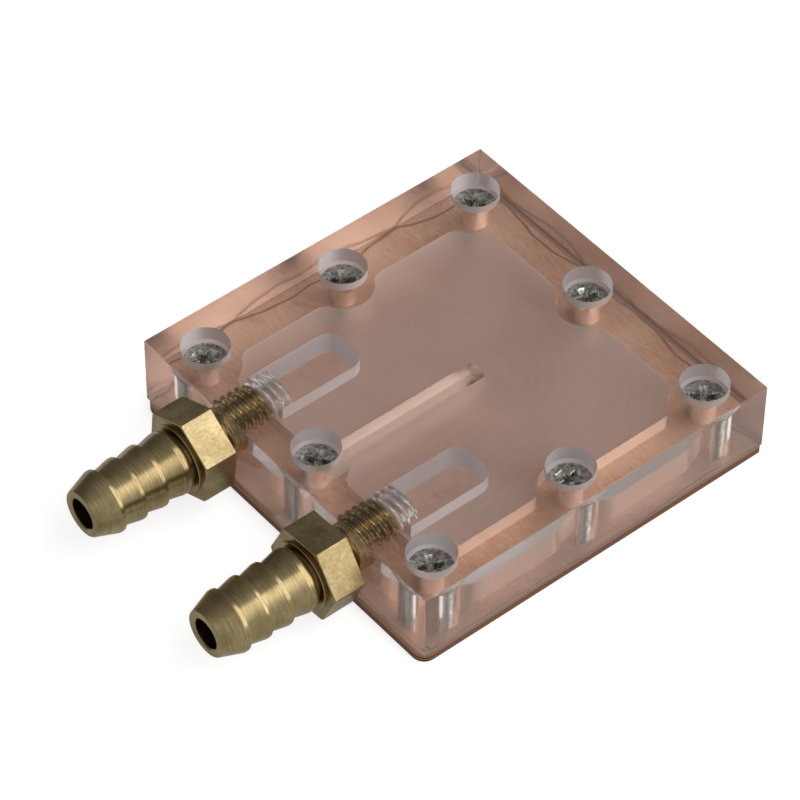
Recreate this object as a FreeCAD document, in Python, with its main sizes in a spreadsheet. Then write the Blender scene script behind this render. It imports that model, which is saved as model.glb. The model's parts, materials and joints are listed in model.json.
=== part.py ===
import FreeCAD, Part
import Sketcher
import os

# A small liquid cooling cold plate: a copper base plate, a clear acrylic cover with the coolant
# channel milled into its underside, eight countersunk screws that hold the two together, and two
# turned brass hose barbs screwed into one side of the cover.
#
# Frame: the origin is the middle of the cold face (the underside of the copper), +Z is up through
# the cover, and the hose barbs point along -Y.  Lengths are in millimetres.

V = FreeCAD.Vector
doc = FreeCAD.newDocument("cold_plate")

DIMENSIONS = [
    ("cover_size", 50.0, "side of the square clear cover"),
    ("cover_thickness", 9.4, "thickness of the clear cover"),
    ("plate_size", 50.0, "side of the square copper plate"),
    ("plate_thickness", 1.5, "thickness of the copper plate"),
    ("plate_shift_x", -0.1, "the plate sits this far out of line with the cover along X"),
    ("plate_shift_y", -0.25, "the plate stands proud of the cover by this on the barb side"),
    ("plate_corner", 1.6, "radius of the two plate corners on the barb side"),
    ("plate_edge", 0.15, "chamfer where the plate's edges were deburred"),
    ("screw_pitch", 20.0, "distance between neighbouring screws, three to a side"),
    ("thread_radius", 1.5, "M3 thread, nominal radius, in the plate and on the screws"),
    ("clearance_radius", 1.6, "clearance hole for a screw in the cover"),
    ("sink_radius", 2.9, "recess above a screw head"),
    ("sink_depth", 1.95, "straight part of that recess, above the conical seat"),
    ("head_radius", 2.6, "countersunk head of a screw"),
    ("screw_length", 8.0, "overall length of a countersunk screw"),
    ("channel_half", 19.0, "half the side of the square coolant channel"),
    ("channel_depth", 3.5, "height of the channel above the copper"),
    ("corner_boss", 4.1, "radius of the material left around a corner screw"),
    ("side_boss", 3.7, "radius of the material left around a mid-side screw"),
    ("cutter_corner", 1.9, "corner radius left by the milling cutter in the channel"),
    ("rib_width", 2.7, "rib that parts the inlet half of the channel from the outlet half"),
    ("rib_reach", 3.7, "how far the rib's free end passes the middle of the plate"),
    ("rib_round", 0.5, "rounding of the rib's free end"),
    ("slot_width", 6.3, "deeper slot that links a port with the channel"),
    ("slot_depth", 6.7, "height of a slot above the copper"),
    ("slot_near", 18.5, "end of a slot towards the barbs, from the middle of the plate"),
    ("slot_far", 6.35, "other end of a slot, from the middle of the plate"),
    ("slot_left", -11.05, "middle line of the slot at the inlet"),
    ("slot_right", 11.55, "middle line of the slot at the outlet"),
    ("port_left", -10.9, "axis of the inlet port along X"),
    ("port_right", 11.3, "axis of the outlet port along X"),
    ("port_height", 7.4, "axis of both ports above the cold face"),
    ("port_radius", 3.0, "M6 thread, nominal radius, in the cover and on the fittings"),
    ("port_depth", 8.3, "depth of a tapped port"),
    ("thread_length", 7.2, "threaded end of a fitting"),
    ("hex_gap", 1.7, "thread that stays in view between the cover and the hexagon"),
    ("hex_across", 10.0, "hexagon across its flats"),
    ("hex_length", 4.3, "length of the hexagon"),
    ("hex_turn_left", 23.75, "how far the inlet hexagon is turned about its axis"),
    ("hex_turn_right", 5.0, "how far the outlet hexagon is turned about its axis"),
    ("hex_chamfer_radius", 4.95, "where the turned chamfer on the front of the hexagon starts"),
    ("relief_radius", 3.2, "relief groove between the hexagon and the hose spigot"),
    ("relief_width", 0.4, "width of that groove"),
    ("spigot_radius", 3.9, "plain spigot, and the crest of each barb"),
    ("spigot_length", 1.25, "plain spigot between the groove and the first barb"),
    ("spigot_bevel", 0.3, "bevelled shoulder of the spigot at the groove"),
    ("root_radius", 3.4, "narrow end of a barb's cone"),
    ("barb_pitch", 2.95, "from one barb to the next"),
    ("barb_land", 0.4, "narrow land behind a barb's crest"),
    ("tip_radius", 2.9, "open end of a fitting"),
    ("tip_length", 2.9, "cone from the last crest to the open end"),
    ("bore_radius", 1.9, "coolant bore through a fitting"),
    ("overrun", 1.0, "how far a cutting outline runs past the material that it cuts"),
]

BARBS = 3
HEX_CHAMFER_ANGLE = 30
HOLES_ROUND_MIDDLE = 4
NEAR = 1e-3
SCREW_GRID = [(-1, -1), (0, -1), (1, -1), (1, 0), (1, 1), (0, 1), (-1, 1), (-1, 0)]

sheet = doc.addObject("Spreadsheet::Sheet", "Dims")
for row, (alias, size, note) in enumerate(DIMENSIONS, start=1):
    sheet.set("A%d" % row, note)
    sheet.set("B%d" % row, str(size))
    sheet.setAlias("B%d" % row, alias)
doc.recompute()


def value(expression):
    """The number that an expression of the sheet gives now."""
    return float(sheet.evalExpression(expression))


def origin_part(body, role):
    return next(part for part in body.Origin.OriginFeatures if part.Role == role)


def new_body(label):
    body = doc.addObject("PartDesign::Body", label)
    body.Label = label
    return body


def sketch_on(body, name, plane, offset="0"):
    """An empty sketch on one of the body's own planes, moved along its normal by an expression."""
    sketch = body.newObject("Sketcher::SketchObject", name)
    sketch.AttachmentSupport = (origin_part(body, plane), "")
    sketch.MapMode = "FlatFace"
    sketch.setExpression("AttachmentOffset.Base.z", offset)
    return sketch


def pin(sketch, geometry, end, across, along):
    """Hold one point of a sketch at two coordinates given as expressions."""
    for kind, expression in (("DistanceX", across), ("DistanceY", along)):
        limit = Sketcher.Constraint(kind, -1, 1, geometry, end, value(expression))
        index = sketch.addConstraint(limit)
        sketch.setExpression("Constraints[%d]" % index, expression)


def outline(sketch, points):
    """A closed outline of straight lines through points given as pairs of expressions."""
    places = [V(value(across), value(along), 0) for across, along in points]
    first = sketch.GeometryCount
    count = len(points)
    for k in range(count):
        sketch.addGeometry(Part.LineSegment(places[k], places[(k + 1) % count]))
    for k in range(count):
        following = first + (k + 1) % count
        sketch.addConstraint(Sketcher.Constraint("Coincident", first + k, 2, following, 1))
    for k, (across, along) in enumerate(points):
        pin(sketch, first + k, 1, across, along)


def rectangle(sketch, left, right, low, high):
    outline(sketch, [(left, low), (right, low), (right, high), (left, high)])


def circle(sketch, across, along, radius):
    centre = V(value(across), value(along), 0)
    index = sketch.addGeometry(Part.Circle(centre, V(0, 0, 1), value(radius)))
    pin(sketch, index, 3, across, along)
    size = sketch.addConstraint(Sketcher.Constraint("Radius", index, value(radius)))
    sketch.setExpression("Constraints[%d]" % size, radius)


def pad(body, name, sketch, length):
    feature = body.newObject("PartDesign::Pad", name)
    feature.Profile = sketch
    feature.setExpression("Length", length)
    doc.recompute()
    return feature


def cut_between(body, name, build):
    """Add a cutting feature and make sure that it took material away."""
    before = body.Shape.Volume
    feature = build(name)
    doc.recompute()
    if body.Shape.Volume > before - NEAR:
        raise RuntimeError(name + " removes nothing")
    return feature


def pocket(body, name, sketch, length, reverse=False):
    def build(title):
        feature = body.newObject("PartDesign::Pocket", title)
        feature.Profile = sketch
        feature.setExpression("Length", length)
        feature.Reversed = reverse
        return feature

    return cut_between(body, name, build)


def turned(body, name, sketch, axis, kind="Revolution"):
    """A profile turned right round one of the body's own axes, as metal or as a cut."""
    feature = body.newObject("PartDesign::" + kind, name)
    feature.Profile = sketch
    feature.ReferenceAxis = (origin_part(body, axis), [""])
    feature.Angle = 360
    doc.recompute()
    return feature


def edges_where(feature, test):
    """Names of the feature's edges that pass a test."""
    names = []
    for number, edge in enumerate(feature.Shape.Edges, start=1):
        if test(edge):
            names.append("Edge%d" % number)
    return names


def fillet(body, name, base, edges, radius):
    feature = body.newObject("PartDesign::Fillet", name)
    feature.Base = (base, edges)
    feature.setExpression("Radius", radius)
    doc.recompute()
    return feature


def chamfer(body, name, base, edges, size):
    feature = body.newObject("PartDesign::Chamfer", name)
    feature.Base = (base, edges)
    feature.setExpression("Size", size)
    doc.recompute()
    return feature


def upright(edge, low, high):
    """True for a straight edge that runs from one height to another, parallel to Z."""
    box = edge.BoundBox
    straight = box.XLength < NEAR and box.YLength < NEAR
    return straight and abs(box.ZMin - low) < NEAR and abs(box.ZMax - high) < NEAR


def screw_places():
    """Coordinates of the eight screws as pairs of expressions."""
    return [("%d * Dims.screw_pitch" % i, "%d * Dims.screw_pitch" % j) for i, j in SCREW_GRID]


def place(body, across, along, height):
    """Put a body at a point given as three expressions."""
    for letter, expression in zip("xyz", (across, along, height)):
        body.setExpression("Placement.Base." + letter, expression)


def copper_base_plate():
    """Sheared copper sheet: corners rounded on the barb side, edges deburred, eight M3 holes."""
    body = new_body("copper_base_plate")
    sketch = sketch_on(body, "plate_outline", "XY_Plane")
    rectangle(
        sketch,
        "Dims.plate_shift_x - Dims.plate_size / 2",
        "Dims.plate_shift_x + Dims.plate_size / 2",
        "Dims.plate_shift_y - Dims.plate_size / 2",
        "Dims.plate_shift_y + Dims.plate_size / 2",
    )
    blank = pad(body, "plate_blank", sketch, "Dims.plate_thickness")
    top = value("Dims.plate_thickness")
    near = edges_where(blank, lambda e: upright(e, 0, top) and e.BoundBox.YMin < 0)
    rounded = fillet(body, "plate_corners", blank, near, "Dims.plate_corner")
    rims = edges_where(rounded, lambda e: e.BoundBox.ZLength < NEAR)
    chamfer(body, "plate_deburr", rounded, rims, "Dims.plate_edge")
    holes = sketch_on(body, "plate_holes", "XY_Plane")
    for across, along in screw_places():
        circle(holes, across, along, "Dims.thread_radius")
    pocket(body, "plate_tapped_holes", holes, "Dims.plate_thickness", reverse=True)
    return body


def mill_channel(body):
    """The coolant channel in the underside, with bosses left for the screws and a dividing rib."""
    floor = "Dims.plate_thickness"
    sketch = sketch_on(body, "channel_outline", "XY_Plane", floor)
    half = "Dims.channel_half"
    rectangle(sketch, "-" + half, half, "-" + half, half)
    pocket(body, "channel_pocket", sketch, "Dims.channel_depth", reverse=True)

    bosses = sketch_on(body, "boss_circles", "XY_Plane", floor)
    for (i, j), (across, along) in zip(SCREW_GRID, screw_places()):
        radius = "Dims.corner_boss" if i and j else "Dims.side_boss"
        circle(bosses, across, along, radius)
    pad(body, "screw_bosses", bosses, "Dims.channel_depth")

    rib = sketch_on(body, "rib_outline", "XY_Plane", floor)
    rectangle(
        rib,
        "-Dims.rib_width / 2",
        "Dims.rib_width / 2",
        "-Dims.screw_pitch",
        "Dims.rib_reach",
    )
    ribbed = pad(body, "flow_rib", rib, "Dims.channel_depth")

    low = value(floor)
    high = low + value("Dims.channel_depth")
    end = value("Dims.rib_reach")
    tip = edges_where(
        ribbed, lambda e: upright(e, low, high) and abs(e.BoundBox.YMin - end) < NEAR
    )
    rounded = fillet(body, "rib_end", ribbed, tip, "Dims.rib_round")
    width = value("Dims.rib_width")
    behind_tip = end - value("Dims.rib_round") - NEAR
    corners = edges_where(
        rounded,
        lambda e: upright(e, low, high)
        and not (abs(e.BoundBox.XMin) < width and e.BoundBox.YMin > behind_tip),
    )
    return fillet(body, "cutter_corners", rounded, corners, "Dims.cutter_corner")


def mill_slots(body):
    """Two deeper slots that carry the coolant between the ports and the channel."""
    floor = "Dims.plate_thickness"
    for side in ("left", "right"):
        sketch = sketch_on(body, "slot_outline_" + side, "XY_Plane", floor)
        middle = "Dims.slot_" + side
        rectangle(
            sketch,
            middle + " - Dims.slot_width / 2",
            middle + " + Dims.slot_width / 2",
            "-Dims.slot_near",
            "-Dims.slot_far",
        )
        slot = pocket(body, "slot_" + side, sketch, "Dims.slot_depth", reverse=True)
        low = value("Dims.plate_thickness + Dims.channel_depth")
        high = value("Dims.plate_thickness + Dims.slot_depth")
        inner = value("-Dims.slot_far")
        far = edges_where(
            slot, lambda e: upright(e, low, high) and abs(e.BoundBox.YMin - inner) < NEAR
        )
        fillet(body, "slot_corners_" + side, slot, far, "Dims.cutter_corner")


def drill_ports(body):
    """Tapped ports in the barb side, each opening into its slot."""
    for side in ("left", "right"):
        sketch = sketch_on(body, "port_circle_" + side, "XZ_Plane", "Dims.cover_size / 2")
        circle(sketch, "Dims.port_" + side, "Dims.port_height", "Dims.port_radius")
        pocket(body, "port_" + side, sketch, "Dims.port_depth")


def sink_screws(body):
    """Recessed, countersunk clearance holes: one drawn at a corner, one at a side, each turned
    into four about the middle of the cover."""
    top = "(Dims.plate_thickness + Dims.cover_thickness)"
    seat = top + " - Dims.sink_depth"
    above = top + " + Dims.overrun"
    below = "Dims.plate_thickness - Dims.overrun"
    for name, column in (("corner", "-Dims.screw_pitch"), ("side", "0")):
        sketch = sketch_on(body, name + "_hole_section", "XZ_Plane", "Dims.screw_pitch")
        throat = "%s - (Dims.sink_radius - Dims.clearance_radius)" % seat
        outline(
            sketch,
            [
                (column, below),
                (column + " + Dims.clearance_radius", below),
                (column + " + Dims.clearance_radius", throat),
                (column + " + Dims.sink_radius", seat),
                (column + " + Dims.sink_radius", above),
                (column, above),
            ],
        )

        def build(title):
            groove = body.newObject("PartDesign::Groove", title)
            groove.Profile = sketch
            groove.ReferenceAxis = (sketch, ["Edge6"])  # the last line, back down the axis
            groove.Angle = 360
            return groove

        groove = cut_between(body, name + "_hole", build)
        ring = body.newObject("PartDesign::PolarPattern", name + "_holes")
        ring.Originals = [groove]
        ring.Axis = (origin_part(body, "Z_Axis"), [""])
        ring.Angle = 360
        ring.Occurrences = HOLES_ROUND_MIDDLE
        body.Tip = ring
        doc.recompute()


def clear_cover():
    """Sawn block of clear acrylic with every passage milled or drilled into it."""
    body = new_body("clear_cover")
    sketch = sketch_on(body, "cover_outline", "XY_Plane", "Dims.plate_thickness")
    half = "Dims.cover_size / 2"
    rectangle(sketch, "-" + half, half, "-" + half, half)
    pad(body, "cover_block", sketch, "Dims.cover_thickness")
    mill_channel(body)
    mill_slots(body)
    drill_ports(body)
    sink_screws(body)
    return body


def cover_screw(number, across, along):
    """M3 countersunk screw, seated on its cone; drawn downwards from the flat of its head."""
    body = new_body("cover_screw_%d" % number)
    sketch = sketch_on(body, "screw_section_%d" % number, "XZ_Plane")
    under = "-(Dims.head_radius - Dims.thread_radius)"
    outline(
        sketch,
        [
            ("0", "0"),
            ("Dims.head_radius", "0"),
            ("Dims.thread_radius", under),
            ("Dims.thread_radius", "-Dims.screw_length"),
            ("0", "-Dims.screw_length"),
        ],
    )
    turned(body, "screw_turning_%d" % number, sketch, "Z_Axis")
    seat = "Dims.plate_thickness + Dims.cover_thickness - Dims.sink_depth"
    place(body, across, along, seat + " - (Dims.sink_radius - Dims.head_radius)")
    return body


def barb_profile():
    """Half section of a fitting as (distance out from the cover, radius) pairs of expressions,
    from the threaded end to the open end and back down the bore."""
    front = "(Dims.hex_gap + Dims.hex_length)"
    spigot = "(%s + Dims.relief_width)" % front
    points = [
        ("-(Dims.thread_length - Dims.hex_gap)", "Dims.bore_radius"),
        ("-(Dims.thread_length - Dims.hex_gap)", "Dims.port_radius"),
        ("Dims.hex_gap + Dims.hex_length / 2", "Dims.port_radius"),
        ("Dims.hex_gap + Dims.hex_length / 2", "Dims.relief_radius"),
        (spigot, "Dims.relief_radius"),
        (spigot, "Dims.spigot_radius - Dims.spigot_bevel"),
        (spigot + " + Dims.spigot_bevel", "Dims.spigot_radius"),
    ]
    crest = "(%s + Dims.spigot_length)" % spigot
    points.append((crest, "Dims.spigot_radius"))
    for number in range(1, BARBS + 1):
        crest_here = "(%s + %d * Dims.barb_pitch)" % (crest, number)
        back = "(%s - Dims.barb_land)" % crest_here
        points += [
            (back, "Dims.root_radius"),
            (back, "Dims.spigot_radius"),
            (crest_here, "Dims.spigot_radius"),
        ]
    tip = "%s + %d * Dims.barb_pitch + Dims.tip_length" % (crest, BARBS)
    points += [(tip, "Dims.tip_radius"), (tip, "Dims.bore_radius")]
    return points


def hose_fitting(label, side):
    """Turned brass hose barb: M6 thread, hexagon, relief groove, spigot and three barbs."""
    body = new_body(label)
    section = sketch_on(body, label + "_section", "YZ_Plane")
    outline(section, [("-(%s)" % out, radius) for out, radius in barb_profile()])
    turned(body, label + "_turning", section, "Y_Axis")

    hexagon = sketch_on(body, label + "_hexagon", "XZ_Plane", "Dims.hex_gap")
    reach = "Dims.hex_across / 2 / cos(30)"
    corners = [
        ("%s * cos(%d)" % (reach, angle), "%s * sin(%d)" % (reach, angle))
        for angle in range(0, 360, 60)
    ]
    outline(hexagon, corners)
    circle(hexagon, "0", "0", "Dims.bore_radius")
    pad(body, label + "_hex", hexagon, "Dims.hex_length")

    bevel = sketch_on(body, label + "_bevel", "YZ_Plane")
    front = "-(Dims.hex_gap + Dims.hex_length)"
    clear = "Dims.hex_across / 2 + 2 * Dims.overrun"
    slope = "(%s - Dims.hex_chamfer_radius) * tan(%d)" % (clear, HEX_CHAMFER_ANGLE)
    outline(
        bevel,
        [
            (front, "Dims.hex_chamfer_radius"),
            (front, clear),
            ("%s + %s" % (front, slope), clear),
        ],
    )
    cut_between(
        body, label + "_corner_bevel", lambda name: turned(body, name, bevel, "Y_Axis", "Groove")
    )

    body.Placement = FreeCAD.Placement(V(0, 0, 0), FreeCAD.Rotation(V(0, 1, 0), 1))
    body.setExpression("Placement.Rotation.Angle", "-Dims.hex_turn_%s" % side)
    place(body, "Dims.port_" + side, "-Dims.cover_size / 2", "Dims.port_height")
    return body


def build_all():
    bodies = [copper_base_plate(), clear_cover()]
    for number, (across, along) in enumerate(screw_places(), start=1):
        bodies.append(cover_screw(number, across, along))
    bodies.append(hose_fitting("inlet_fitting", "left"))
    bodies.append(hose_fitting("outlet_fitting", "right"))
    doc.recompute()
    return bodies


def check_document(bodies):
    """Stop if anything in the document failed or a sub-part has no sound solid."""
    for item in doc.Objects:
        if "Invalid" in item.State or "Error" in item.State:
            raise RuntimeError("%s failed: %s" % (item.Name, item.State))
    for body in bodies:
        shape = body.Shape
        if shape.isNull() or not shape.isValid() or len(shape.Solids) != 1:
            raise RuntimeError("%s is not one valid solid" % body.Label)


def export(bodies):
    os.makedirs("parts", exist_ok=True)
    for body in bodies:
        body.Shape.exportStep("parts/%s.step" % body.Label)
        box = body.Shape.BoundBox
        print(
            "%-18s volume %9.2f  x %7.2f %7.2f  y %7.2f %7.2f  z %6.2f %6.2f"
            % (
                body.Label,
                body.Shape.Volume,
                box.XMin,
                box.XMax,
                box.YMin,
                box.YMax,
                box.ZMin,
                box.ZMax,
            )
        )


SUB_PARTS = build_all()
check_document(SUB_PARTS)
export(SUB_PARTS)
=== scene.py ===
# %% [markdown]
# # Liquid cooling cold plate
# A copper base plate sits under a block of clear acrylic with a coolant channel milled into it. Eight
# countersunk screws hold the two together, and two turned brass hose barbs are screwed into one side.
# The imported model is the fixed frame: every place below is read from it, and nothing in it is moved.

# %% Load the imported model
import json
import math

import bmesh
import bpy
from mathutils import Matrix, Vector


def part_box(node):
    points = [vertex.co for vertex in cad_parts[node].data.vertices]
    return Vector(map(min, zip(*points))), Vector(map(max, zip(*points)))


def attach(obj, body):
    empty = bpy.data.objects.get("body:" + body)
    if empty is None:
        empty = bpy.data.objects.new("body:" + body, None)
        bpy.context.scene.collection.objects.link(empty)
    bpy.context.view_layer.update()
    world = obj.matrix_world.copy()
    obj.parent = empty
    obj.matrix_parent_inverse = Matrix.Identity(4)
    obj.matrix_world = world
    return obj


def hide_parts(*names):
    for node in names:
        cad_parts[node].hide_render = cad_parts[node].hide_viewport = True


bpy.context.scene.view_settings.view_transform = "Standard"
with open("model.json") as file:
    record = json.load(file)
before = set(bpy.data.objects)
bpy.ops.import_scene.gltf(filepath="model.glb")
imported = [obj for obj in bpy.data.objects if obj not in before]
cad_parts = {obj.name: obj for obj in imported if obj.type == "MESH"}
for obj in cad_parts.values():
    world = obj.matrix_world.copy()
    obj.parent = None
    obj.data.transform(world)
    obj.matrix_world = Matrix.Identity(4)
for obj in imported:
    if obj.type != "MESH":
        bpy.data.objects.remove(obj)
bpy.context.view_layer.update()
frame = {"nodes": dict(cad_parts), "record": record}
print("nodes:", sorted(frame["nodes"]))

# %% [markdown]
# Blender works in metres here, but the sizes of small hardware are easier to read in millimetres. One
# constant turns them, and another says how close two places are that count as one. The main places
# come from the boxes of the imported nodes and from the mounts.

# %% Sizes and places
MM = 0.001
SAME = 0.001 * MM

cover_low, cover_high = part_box("clear_cover")
plate_low, plate_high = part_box("copper_base_plate")
SCREW_NODES = ["cover_screw_%d" % place for place in range(1, 9)]
FITTING_NODES = ["inlet_fitting", "outlet_fitting"]
mounts = {mount["name"]: mount for mount in frame["record"]["mounts"]}
port_axes = []
for name in ("inlet_spigot", "outlet_spigot"):
    spot = mounts[name]["pos_m"]
    port_axes.append(Vector((spot[0], cover_low.y, spot[2])))
print("cover (mm):", [round(v / MM, 2) for v in cover_high - cover_low])
print("ports (mm):", [[round(v / MM, 2) for v in axis] for axis in port_axes])

# %% [markdown]
# A few helpers are used all through the script. A colour is written as its sRGB hex value, the way a
# paint chart gives it, and one function turns it to the linear values that a shader needs. One
# function adds a node with its settings and links, and the others make a material, an object and a
# mesh. Patterns run on Object coordinates, which are metres, so a noise with a scale of 2 / MM has
# about two cells in a millimetre.

# %% Helpers for colours, nodes and meshes
def paint(hex_code):
    """Linear RGBA of an sRGB hex colour such as '#B08D57'."""
    channels = []
    for start in (1, 3, 5):
        value = int(hex_code[start : start + 2], 16) / 255
        if value <= 0.04045:
            channels.append(value / 12.92)
        else:
            channels.append(((value + 0.055) / 1.055) ** 2.4)
    return (*channels, 1.0)


def add_node(tree, kind, settings=None, **inputs):
    """A node with its properties set; an input is a value, a socket or a node to link from."""
    node = tree.nodes.new(kind)
    for key, value in (settings or {}).items():
        setattr(node, key, value)
    for key, value in inputs.items():
        name = key.replace("_", " ")
        socket = node.inputs[int(key[3:])] if key.startswith("in_") else node.inputs[name]
        if isinstance(value, bpy.types.Node):
            value = value.outputs[0]
        if isinstance(value, bpy.types.NodeSocket):
            tree.links.new(value, socket)
        else:
            socket.default_value = value
    return node


def new_material(name):
    material = bpy.data.materials.new(name)
    material.use_nodes = True
    material.node_tree.nodes.clear()
    return material, material.node_tree


def new_object(name, mesh):
    obj = bpy.data.objects.new(name, mesh)
    bpy.context.scene.collection.objects.link(obj)
    return obj


def mesh_from(name, build):
    """A mesh whose vertices and faces a function adds to a BMesh, with its normals outward."""
    mesh = bpy.data.meshes.new(name)
    shape = bmesh.new()
    build(shape)
    bmesh.ops.recalc_face_normals(shape, faces=shape.faces)
    shape.to_mesh(mesh)
    shape.free()
    return mesh


# %% [markdown]
# The camera looks down on the block from beyond its barb side with a long lens, so the edges stay
# almost parallel. It is placed by the angles of a turntable: a point to look at, an azimuth, an
# elevation and a distance. It leans by half a degree, as a camera held by hand does.

# %% Camera
AIM = Vector((-3.79, -4.77, 5.0)) * MM
AZIMUTH = math.radians(50.077)
ELEVATION = math.radians(47.003)
LEAN = math.radians(0.564)
DISTANCE = 489.9 * MM

camera_data = bpy.data.cameras.new("camera")
camera_data.lens = 193.74
camera_data.sensor_width = 36
camera_data.clip_start = 0.01
camera = bpy.data.objects.new("camera", camera_data)
bpy.context.scene.collection.objects.link(camera)
towards = Vector(
    (
        math.cos(ELEVATION) * math.sin(AZIMUTH),
        -math.cos(ELEVATION) * math.cos(AZIMUTH),
        math.sin(ELEVATION),
    )
)
turn = towards.to_track_quat("Z", "Y").to_matrix().to_4x4()
camera.matrix_world = (
    Matrix.Translation(AIM + towards * DISTANCE) @ turn @ Matrix.Rotation(LEAN, 4, "Z")
)
bpy.context.scene.camera = camera
print("camera at (mm):", [round(v / MM, 1) for v in camera.matrix_world.translation])

# %% [markdown]
# A white sweep of paper would light the part from below and show white behind it. The floor here is
# pale, and some light is added to it for rays from the camera and rays through glass, and a little
# for mirror rays, with the Light Path node. So the paper stays white behind the part, keeps a soft
# shadow, and leaves the metal its contrast.

# %% Floor
def light_path_any(tree, *kinds):
    """1 for the named kinds of ray, otherwise 0."""
    path = add_node(tree, "ShaderNodeLightPath")
    total = path.outputs[kinds[0]]
    for kind in kinds[1:]:
        total = add_node(
            tree, "ShaderNodeMath", {"operation": "MAXIMUM"}, in_0=total, in_1=path.outputs[kind]
        )
    return total


VIEW_FILL = 0.75
METAL_FILL = 0.15

paper, tree = new_material("white_paper")
clear_view = light_path_any(tree, "Is Camera Ray", "Is Transmission Ray")
in_metal = light_path_any(tree, "Is Glossy Ray")
view_fill = add_node(
    tree, "ShaderNodeMath", {"operation": "MULTIPLY"}, in_0=clear_view, in_1=VIEW_FILL
)
metal_fill = add_node(
    tree, "ShaderNodeMath", {"operation": "MULTIPLY"}, in_0=in_metal, in_1=METAL_FILL
)
fill = add_node(tree, "ShaderNodeMath", {"operation": "MAXIMUM"}, in_0=view_fill, in_1=metal_fill)
matt = add_node(tree, "ShaderNodeBsdfDiffuse", Color=paint("#C8C8C8"))
added = add_node(tree, "ShaderNodeEmission", Color=paint("#FFFFFF"), Strength=fill)
both = add_node(tree, "ShaderNodeAddShader", in_0=matt, in_1=added)
add_node(tree, "ShaderNodeOutputMaterial", Surface=both)


def floor_sheet(shape):
    """A square sheet at the height of the part's underside, 3 m wide."""
    reach = 1.5
    corners = [(-reach, -reach), (reach, -reach), (reach, reach), (-reach, reach)]
    shape.faces.new([shape.verts.new((x, y, plate_low.z)) for x, y in corners])


floor = new_object("floor", mesh_from("floor", floor_sheet))
floor.data.materials.append(paper)
print("floor at (mm):", round(plate_low.z / MM, 3))

# %% [markdown]
# The light is a plain soft studio light: one large soft box high on the right, behind the part, and
# a dim grey surround that fills the shadows. Metal shows whatever surrounds it. So the surround is
# kept darker than the soft box, and darker on the left than on the right, as it is in a room with
# its lamps on one side. That is what gives turned brass its dark and bright bands.

# %% Surround and soft box
SURROUND_LEFT = 0.14
SURROUND_RIGHT = 0.56

world = bpy.data.worlds.new("surround")
bpy.context.scene.world = world
world.use_nodes = True
tree = world.node_tree
tree.nodes.clear()
seen = light_path_any(tree, "Is Camera Ray")
toward = add_node(tree, "ShaderNodeTexCoord").outputs["Generated"]
rightward = add_node(tree, "ShaderNodeSeparateXYZ", Vector=toward).outputs["X"]
falloff = add_node(
    tree,
    "ShaderNodeMapRange",
    Value=rightward,
    From_Min=-0.8,
    From_Max=0.8,
    To_Min=SURROUND_LEFT,
    To_Max=SURROUND_RIGHT,
)
dim = add_node(tree, "ShaderNodeBackground", Color=paint("#FFFFFF"), Strength=falloff)
white = add_node(tree, "ShaderNodeBackground", Color=paint("#FFFFFF"), Strength=1.0)
either = add_node(tree, "ShaderNodeMixShader", in_0=seen, in_1=dim, in_2=white)
add_node(tree, "ShaderNodeOutputWorld", Surface=either)


def soft_box(name, direction, distance, side, radiance):
    """A square area light that faces the part; radiance is how bright it looks in a mirror."""
    light = bpy.data.lights.new(name, "AREA")
    light.size = side
    light.energy = radiance * math.pi * side * side
    lamp = bpy.data.objects.new(name, light)
    bpy.context.scene.collection.objects.link(lamp)
    place = Vector(direction).normalized()
    aim = place.to_track_quat("Z", "Y").to_matrix().to_4x4()
    lamp.matrix_world = Matrix.Translation(place * distance) @ aim


soft_box("key_soft_box", (0.6, 0.46, 0.66), distance=0.8, side=1.0, radiance=1.6)
print("lights:", [light.name for light in bpy.data.lights])

# %% [markdown]
# ## Clear cover
# Cast acrylic sheet keeps its polish where nothing touched it. The sides were sawn, the channel was
# milled, and both are rougher, so the block needs several finishes on one mesh. It starts as a merged
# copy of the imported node, so that every passage is where the real cutters left it.

# %% Merged copy of the cover
def merged_copy(node, name):
    """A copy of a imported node's mesh with its loose triangles joined."""
    mesh = frame["nodes"][node].data.copy()
    mesh.name = name
    mesh.materials.clear()
    for attribute in [a for a in mesh.attributes if a.name == "custom_normal"]:
        mesh.attributes.remove(attribute)
    shape = bmesh.new()
    shape.from_mesh(mesh)
    bmesh.ops.remove_doubles(shape, verts=shape.verts, dist=SAME)
    bmesh.ops.dissolve_limit(
        shape, angle_limit=math.radians(0.05), verts=shape.verts, edges=shape.edges
    )
    bmesh.ops.triangulate(shape, faces=shape.faces)
    shape.to_mesh(mesh)
    shape.free()
    return mesh


cover = new_object("acrylic_cover", merged_copy("clear_cover", "acrylic_cover"))
print("cover, merged:", len(cover.data.polygons), "faces")

# %% [markdown]
# The free edges of a sawn block are broken with a scraper, and that thin flat catches the light. The
# underside is bedded in a smear of sealant that fills the gap to the copper, so it is sunk a hair into
# the plate: with no air between them, the copper shows through the sides too. A narrow strip of the
# underside along the joint is kept as faces of its own, to carry painted shade that stands for the
# shadowed gap at the joint.

# %% Edges and joint of the cover
EDGE = 0.12 * MM
WETTED = 0.02 * MM
# Width of the underside's strip along the joint, which carries painted shade.
PAINTED_SHADE_STRIP = 0.42 * MM
ON_PLANE = 0.01 * MM


def on_border(vert):
    """Which of the block's six outer planes a vertex lies on."""
    planes = set()
    for k in range(3):
        for side in (cover_low[k], cover_high[k]):
            if abs(vert.co[k] - side) < ON_PLANE:
                planes.add((k, side))
    return planes


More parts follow.
